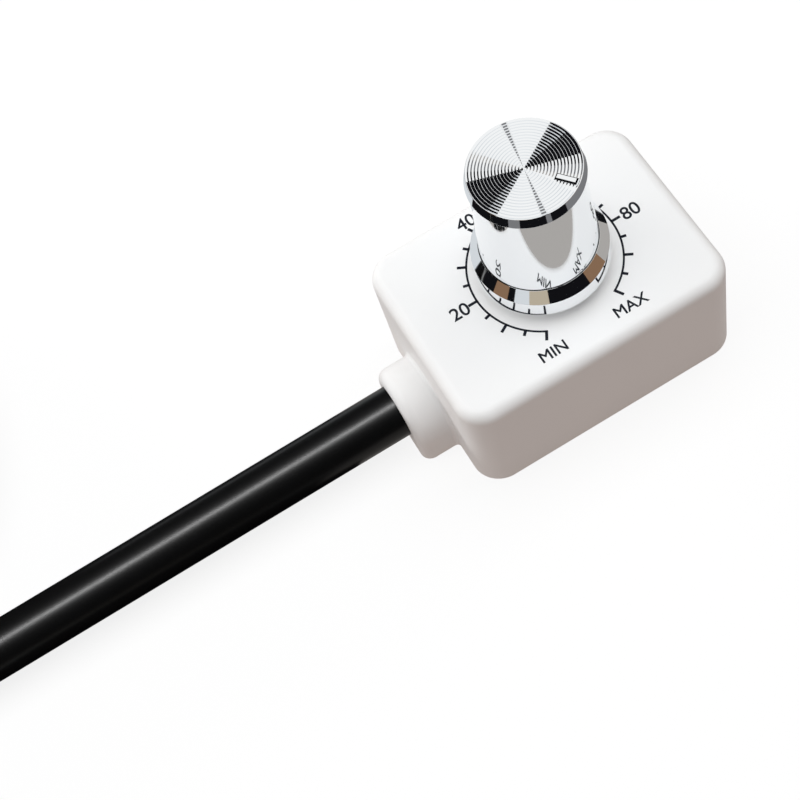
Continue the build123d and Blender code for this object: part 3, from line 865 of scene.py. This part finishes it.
@dataclass
class CoverScrews:
    """Countersunk cross-recess screws under the box; sizes in millimetres."""

    finishes: Finishes
    head_radius: float = 2.0
    head_height: float = 1.0
    shank_radius: float = 1.1
    length: float = 8.0
    tip: float = 1.2
    thread_pitch: float = 0.8
    thread_depth: float = 0.22
    root_start: float = 0.3
    root_end: float = 0.6
    recess_radius: float = 1.1
    recess_width: float = 0.42
    recess_depth: float = 0.6
    recess_taper: float = 0.75
    segments: int = 24

    def one_screw(self) -> bpy.types.Mesh:
        """Makes one screw at the origin, head down, with a cross cut into its head.

        Returns:
            The screw's mesh in metres.
        """
        outline = [(self.head_radius, 0.0), (self.shank_radius, self.head_height)]
        root = self.shank_radius - self.thread_depth
        turns = int((self.length - self.tip - self.head_height) / self.thread_pitch)
        for number in range(turns):
            level = self.head_height + number * self.thread_pitch
            outline += [(root, level + self.thread_pitch * self.root_start),
                        (root, level + self.thread_pitch * self.root_end),
                        (self.shank_radius, level + self.thread_pitch)]
        outline.append((0.0, self.length))
        angles = [2 * math.pi * part / self.segments for part in range(self.segments)]
        vertices = [(way(angle) * radius + Vector((0.0, 0.0, level))) * MM
                    for radius, level in outline for angle in angles]
        faces = ring_faces(len(outline), self.segments)
        cross = self.cross()
        deep = Vector((0.0, 0.0, self.recess_depth))
        faces += ring_faces(2, len(cross), first=len(vertices))
        vertices += [corner * MM for corner in cross]
        faces.append(tuple(range(len(vertices), len(vertices) + len(cross))))
        vertices += [(corner * self.recess_taper + deep) * MM for corner in cross]
        return closed_mesh("one_screw", vertices, faces)

    def cross(self) -> list[Vector]:
        """Draws the mouth of the recess.

        Returns:
            The corners of a cross, in millimetres.
        """
        half = self.recess_width / 2
        reach = self.recess_radius
        arm = [Vector((reach, -half, 0.0)), Vector((reach, half, 0.0)), Vector((half, half, 0.0))]
        turns = [Matrix.Rotation(math.pi / 2 * quarter, 3, "Z") for quarter in range(4)]
        return [turn @ corner for turn in turns for corner in arm]

    def pattern_tree(self) -> bpy.types.NodeTree:
        """Builds the node tree that sets one screw at each corner of a rectangle.

        Returns:
            A geometry tree with named inputs.
        """
        tree = new_tree("screw_pattern", {"Screw": "Geometry", "Spacing X": "Float", "Spacing Y": "Float",
                                          "Centre": "Vector", "Metal": "Material"})
        given = add_node(tree, "NodeGroupInput").outputs
        grid = add_node(tree, "GeometryNodeMeshGrid",
                        {"Size X": given["Spacing X"], "Size Y": given["Spacing Y"],
                         "Vertices X": 2, "Vertices Y": 2})
        corners = add_node(tree, "GeometryNodeSetPosition", {"Geometry": grid, "Offset": given["Centre"]})
        screws = add_node(tree, "GeometryNodeInstanceOnPoints", {"Points": corners, "Instance": given["Screw"]})
        real = add_node(tree, "GeometryNodeRealizeInstances", {0: screws})
        plated = add_node(tree, "GeometryNodeSetMaterial", {0: real, "Material": given["Metal"]})
        add_node(tree, "NodeGroupOutput", {0: plated})
        return tree

    def build(self) -> None:
        """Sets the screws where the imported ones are."""
        low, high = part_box("cover_screws")
        metal = self.finishes.zinc
        values = {"Spacing X": high.x - low.x - 2 * self.head_radius * MM,
                  "Spacing Y": high.y - low.y - 2 * self.head_radius * MM,
                  "Centre": box_middle(low, high, low.z), "Metal": metal}
        screws = grown_piece("cover_screws_cut", self.pattern_tree(), values, metal, self.one_screw())
        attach(screws, Body.HOUSING.value)
        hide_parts("cover_screws")
        LOG.info("built cover_screws_cut")


@dataclass
class HousingAndPot:
    """Moulded box, and the potentiometer and cable ends that it holds."""

    finishes: Finishes

    def build(self) -> None:
        """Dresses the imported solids."""
        finishes = self.finishes
        dress(finishes.shell, "upper_shell", "bottom_cover")
        dress(finishes.zinc, "pot_frame", "pot_can", "pot_washer", "pot_nut", "shaft_clip")
        dress(finishes.alloy, "pot_shaft")
        dress(finishes.laminate, "pot_wafer")
        dress(finishes.tin, "pot_terminals", "pot_wiper")
        dress(finishes.carrier, "pot_rotor", "knob_insert", "core_sleeves")
        dress(finishes.jacket, "cable_tail")
        dress(finishes.tie, "tail_tie")
        dress(finishes.core_black, "core_black")
        dress(finishes.core_white, "core_white")


class LightUse(Enum):
    """What a studio light is there for."""

    MATT = "lights matt surfaces and casts shadows"
    GLOSS = "shows as a streak in glossy surfaces"


def gather(name: str, pieces: Sequence[str]) -> bpy.types.Collection:
    """Gathers pieces that a light treats apart from the others.

    Args:
        name: the collection's name.
        pieces: the pieces' names.

    Returns:
        A collection outside the scene's own tree.
    """
    made = bpy.data.collections.new(name)
    for piece in pieces:
        made.objects.link(bpy.data.objects[piece])
    return made


@dataclass(frozen=True)
class Softbox:
    """Large soft light that faces the scene or, over it, hangs level; sizes in metres."""

    name: str
    place: tuple[float, float, float]
    width: float
    depth: float
    radiance: float
    use: LightUse
    level: bool = True
    receivers: tuple[str, ...] = ()
    blockers: tuple[str, ...] = ()

    def build(self) -> None:
        """Adds the light, which may shine on some pieces alone or be shaded by some alone."""
        data = bpy.data.lights.new(self.name, "AREA")
        data.shape = "RECTANGLE"
        data.size = self.width
        data.size_y = self.depth
        data.energy = math.pi * self.width * self.depth * self.radiance
        light = link_object(self.name, data)
        facing = Matrix() if self.level else Vector(self.place).to_track_quat("Z", "Y").to_matrix().to_4x4()
        light.matrix_world = Matrix.Translation(self.place) @ facing
        light.visible_diffuse = self.use is LightUse.MATT
        light.visible_glossy = self.use is LightUse.GLOSS
        if self.receivers:
            light.light_linking.receiver_collection = gather(f"{self.name}_lit", self.receivers)
        if self.blockers:
            light.light_linking.blocker_collection = gather(f"{self.name}_shading", self.blockers)


class RoomTone(Enum):
    """Plain tones of a room, which the floor and the far room show to mirrors alone."""

    WHITE = "#FDFDFC"
    CHALK = "#DADEE1"
    GREY = "#AFABA7"
    LINEN = "#BDB19D"
    TIMBER = "#8A6C54"
    SLATE = "#7C7C7E"
    DARK = "#121215"


@dataclass(frozen=True)
class Patch:
    """Patch of the floor or room, by its angles round the knob from +X and its two edges."""

    start_deg: float
    end_deg: float
    near: float
    far: float
    tone: RoomTone

    def holds(self, angle: float, across: float) -> bool:
        """Tells whether a place lies on the patch."""
        turned = (angle - self.start_deg) % 360.0
        return turned < self.end_deg - self.start_deg and self.near <= across < self.far


@dataclass
class Studio:
    """White floor, soft lights and the far room that a mirror finish needs to read as metal; in millimetres."""

    camera: PhotoCamera
    floor_radius: float = 3000.0
    floor_white: str = "#F7F7F7"
    floor_bounce: str = "#D0B9AE"
    floor_glow: float = 0.85
    side_edge: float = 33.0
    front_edge: float = 40.0
    back_edge: float = 58.0
    rim_edge: float = 100.0
    shadow_reach: float = 200.0
    white_from: float = 450.0
    sky_fill: float = 0.12
    wall_height: float = 800.0
    canopy_radius: float = 3800.0
    canopy_leans: tuple[float, float, float] = (9.0, 25.0, 50.0)
    dim_room: float = 0.007
    relit: str = "#E6EDF6"
    relit_gain: float = 1.7

    def softboxes(self) -> list[Softbox]:
        """Lists the lights: two broad ones above, a low one behind the collar and a strip along the cable.

        Returns:
            The lights, in the order in which they are built.
        """
        return [
            Softbox("overhead_soft", (0.05, 0.12, 0.9), 2.0, 0.8, 1.42, LightUse.MATT),
            Softbox("overhead_fill", (0.05, 0.12, 0.9), 2.0, 0.8, 1.36, LightUse.MATT,
                    blockers=("upper_shell", "cable_jacket")),
            Softbox("low_left_soft", (-0.64, 0.62, 0.12), 0.4, 0.25, 12.0, LightUse.MATT, level=False),
            Softbox("cable_streak", (-0.06, 0.045, 1.0), 2.0, 0.13, 31.0, LightUse.GLOSS,
                    receivers=("cable_jacket",)),
        ]

    def near_patches(self) -> list[Patch]:
        """Lists the patches of the floor round the box, which the knob's body and rim mirror.

        Returns:
            The patches, their edges given as radii.
        """
        return [
            # Painted shade: to mirrors the floor next to the box is grey, where the camera sees it white,
            # standing in for the shaded floor round the box.
            Patch(195, 330, 0.0, self.front_edge, RoomTone.GREY),
            Patch(70, 142, 0.0, self.back_edge, RoomTone.CHALK),
            Patch(330, 555, 0.0, self.side_edge, RoomTone.GREY),
            Patch(209, 226, self.front_edge, self.rim_edge, RoomTone.SLATE),
            Patch(266, 274, self.front_edge, self.rim_edge, RoomTone.SLATE),
            Patch(301, 360, self.side_edge, self.rim_edge, RoomTone.SLATE),
            Patch(360, 430, self.side_edge, self.back_edge, RoomTone.SLATE),
            Patch(142, 301, self.side_edge, self.rim_edge, RoomTone.DARK),
        ]

    def far_patches(self) -> list[Patch]:
        """Lists the sectors of the far floor and wall, which the sloped shoulder of the knob mirrors.

        Returns:
            The patches, which reach right across.
        """
        sectors = [
            (151, 174, RoomTone.DARK),
            (174, 193, RoomTone.TIMBER),
            (193, 202, RoomTone.DARK),
            (202, 221, RoomTone.CHALK),
            (221, 246, RoomTone.LINEN),
            (246, 302, RoomTone.DARK),
            (302, 333, RoomTone.TIMBER),
            (333, 372, RoomTone.GREY),
            (372, 390, RoomTone.DARK),
            (30, 151, RoomTone.CHALK),
        ]
        return [Patch(start, end, 0.0, self.floor_radius, tone) for start, end, tone in sectors]

    def canopy_patches(self) -> list[Patch]:
        """Lists the patches high over the knob, which the grooves of its top mirror.

        Returns:
            The patches, their edges given as leans of the groove wall that mirrors them.
        """
        flat, _, steep = self.canopy_leans
        sectors = [
            (126, 136, RoomTone.GREY),
            (136, 150, RoomTone.SLATE),
            (150, 212, RoomTone.DARK),
            (256, 262, RoomTone.SLATE),
            (340, 386, RoomTone.DARK),
            (0, 360, RoomTone.WHITE),
        ]
        over_grooves = [Patch(start, end, flat, steep, tone) for start, end, tone in sectors]
        return [Patch(0, 360, 0.0, flat, RoomTone.WHITE), *over_grooves]

    def build(self) -> None:
        """Sets up the view transform, world, lights, floor and far room."""
        bpy.context.scene.view_settings.view_transform = "Standard"
        self.world()
        for softbox in self.softboxes():
            softbox.build()
        self.floor_and_room()
        LOG.info("built the studio")

    def world(self) -> None:
        """Makes a backdrop that is white to the camera and dim to mirrors; it gives matt surfaces only a little
        light, but glows bright where they see it through a mirror, which is painted light.
        """
        world = bpy.data.worlds.new("white_backdrop")
        bpy.context.scene.world = world
        world.use_nodes = True
        tree = world.node_tree
        path = add_node(tree, "ShaderNodeLightPath").outputs
        seen = add_node(tree, "ShaderNodeMath",
                        {0: path["Is Camera Ray"], 1: path["Is Transmission Ray"]}, operation="MAXIMUM")
        plain = add_node(tree, "ShaderNodeMapRange", {0: seen, 3: self.sky_fill, 4: 1.0})
        # Painted light: to a mirror ray from a matt surface the backdrop glows at relit_gain, so the knob
        # throws extra light on the box top.
        dim = add_node(tree, "ShaderNodeMapRange",
                       {0: path["Diffuse Depth"], 3: self.dim_room, 4: self.relit_gain})
        level = add_node(tree, "ShaderNodeMix", {0: path["Is Glossy Ray"], 2: plain, 3: dim}, data_type="FLOAT")
        feed(tree.nodes["Background"], {"Color": (1.0, 1.0, 1.0, 1.0), "Strength": level})

    def paint(self, tone: RoomTone) -> bpy.types.Material:
        """Makes one paint of the floor and room.

        It is white to the camera, and near the object it keeps a soft part of the shadow. To a mirror it has
        its tone, or a bright one where the mirror throws light on, and to matt surfaces it gives a warm light.

        Args:
            tone: what a mirror shows.

        Returns:
            The material.
        """
        made = bpy.data.materials.new(f"room_{tone.name.lower()}")
        made.use_nodes = True
        made.cycles.emission_sampling = "NONE"
        tree = made.node_tree
        tree.nodes.remove(tree.nodes["Principled BSDF"])
        path = add_node(tree, "ShaderNodeLightPath").outputs
        seen = add_node(tree, "ShaderNodeMath",
                        {0: path["Is Camera Ray"], 1: path["Is Transmission Ray"]}, operation="MAXIMUM")
        plain = add_node(tree, "ShaderNodeMix",
                         {0: seen, 6: linear(self.floor_bounce), 7: (1.0, 1.0, 1.0, 1.0)}, data_type="RGBA")
        # Painted light: where a matt surface sees the room through the knob, the room glows in the relit colour
        # at relit_gain and lights it.
        thrown_on = add_node(tree, "ShaderNodeMath",
                             {0: path["Is Glossy Ray"], 1: path["Diffuse Depth"]}, operation="MULTIPLY")
        shown = add_node(tree, "ShaderNodeMix",
                         {0: thrown_on, 6: linear(tone.value), 7: linear(self.relit)}, data_type="RGBA")
        colour = add_node(tree, "ShaderNodeMix",
                          {0: path["Is Glossy Ray"], 6: plain.outputs[2], 7: shown.outputs[2]},
                          data_type="RGBA")
        level = add_node(tree, "ShaderNodeMapRange", {0: thrown_on, 3: 1.0, 4: self.relit_gain})
        glow = add_node(tree, "ShaderNodeEmission", {"Color": colour.outputs[2], "Strength": level})
        matt = add_node(tree, "ShaderNodeBsdfDiffuse", {"Color": linear(self.floor_white)})
        place = add_node(tree, "ShaderNodeTexCoord").outputs["Object"]
        reach = add_node(tree, "ShaderNodeVectorMath", {0: place}, operation="LENGTH")
        glow_share = add_node(tree, "ShaderNodeMapRange",
                              {0: reach.outputs["Value"], 1: self.shadow_reach * MM, 2: self.white_from * MM,
                               3: self.floor_glow, 4: 1.0})
        share = add_node(tree, "ShaderNodeMath", {0: path["Is Glossy Ray"], 1: glow_share}, operation="MAXIMUM")
        mix = add_node(tree, "ShaderNodeMixShader", {0: share, 1: matt, 2: glow})
        feed(tree.nodes["Material Output"], {"Surface": mix})
        return made

    def surface(
        self,
        name: str,
        edges: Sequence[float],
        patches: Sequence[Patch],
        place: Callable[[float, float], Vector],
        paints: dict[RoomTone, bpy.types.Material],
    ) -> bpy.types.Object:
        """Makes part of the stage from one-degree cells, each with the paint of its patch.

        Args:
            name: the surface's name.
            edges: edges of the cells across the surface.
            patches: its patches, of which the first that holds a cell gives its paint.
            place: gives a point in millimetres from an angle and a distance across.
            paints: the paint of each tone.

        Returns:
            The surface.
        """
        cells = 360
        tones = list(paints)
        vertices = [place(math.radians(step), edge) * MM for edge in edges for step in range(cells)]
        slots = []
        for near, far in zip(edges, edges[1:]):
            for step in range(cells):
                tone = next(patch.tone for patch in patches if patch.holds(step + 0.5, (near + far) / 2))
                slots.append(tones.index(tone))
        mesh = bpy.data.meshes.new(name)
        mesh.from_pydata(vertices, [], ring_faces(len(edges), cells))
        for paint in paints.values():
            mesh.materials.append(paint)
        mesh.polygons.foreach_set("material_index", slots)
        made = link_object(name, mesh)
        return made

    def floor_and_room(self) -> None:
        """Lays the floor, and stands a far wall and canopy round it that only mirrors see."""
        low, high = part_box("knob")
        foot = box_middle(low, high, 0.0) / MM
        crown = box_middle(low, high, high.z) / MM
        view = (Vector(self.camera.position) - crown).normalized()

        def on_floor(angle: float, radius: float) -> Vector:
            """Gives a point on the floor."""
            return foot + radius * way(angle)

        def on_wall(angle: float, height: float) -> Vector:
            """Gives a point on the far wall."""
            return on_floor(angle, self.floor_radius) + Vector((0.0, 0.0, height))

        def on_canopy(angle: float, lean_deg: float) -> Vector:
            """Gives the point that a groove wall mirrors to the camera.

            Args:
                angle: way that the wall faces, in radians.
                lean_deg: how far it leans from level.

            Returns:
                The point in millimetres.
            """
            lean = math.radians(lean_deg)
            facing = math.sin(lean) * way(angle) + Vector((0.0, 0.0, math.cos(lean)))
            return crown + self.canopy_radius * (2 * facing.dot(view) * facing - view)

        paints = {tone: self.paint(tone) for tone in RoomTone}
        radii = (0.0, self.side_edge, self.front_edge, self.back_edge, self.rim_edge, self.floor_radius)
        self.surface("floor", radii, self.near_patches() + self.far_patches(), on_floor, paints)
        wall = self.surface("far_wall", (0.0, self.wall_height), self.far_patches(), on_wall, paints)
        canopy = self.surface("canopy", (0.0, *self.canopy_leans), self.canopy_patches(), on_canopy, paints)
        mirrors = gather("mirrors", ("knob_plated",))
        for part in (wall, canopy):
            part.visible_camera = False
            part.visible_diffuse = False
            part.visible_shadow = False
            part.visible_transmission = False
            part.light_linking.receiver_collection = mirrors


def main() -> None:
    """Builds camera, cord, knob, scale, screws, box and studio in order."""
    logging.basicConfig(level=logging.INFO, format="%(name)s: %(message)s")
    finishes = Finishes()
    camera = PhotoCamera()
    camera.build()
    CableLead(finishes).build()
    PlatedKnob(finishes).build()
    ScalePrint(finishes).build()
    CoverScrews(finishes).build()
    HousingAndPot(finishes).build()
    Studio(camera).build()


if __name__ == "__main__":
    main()
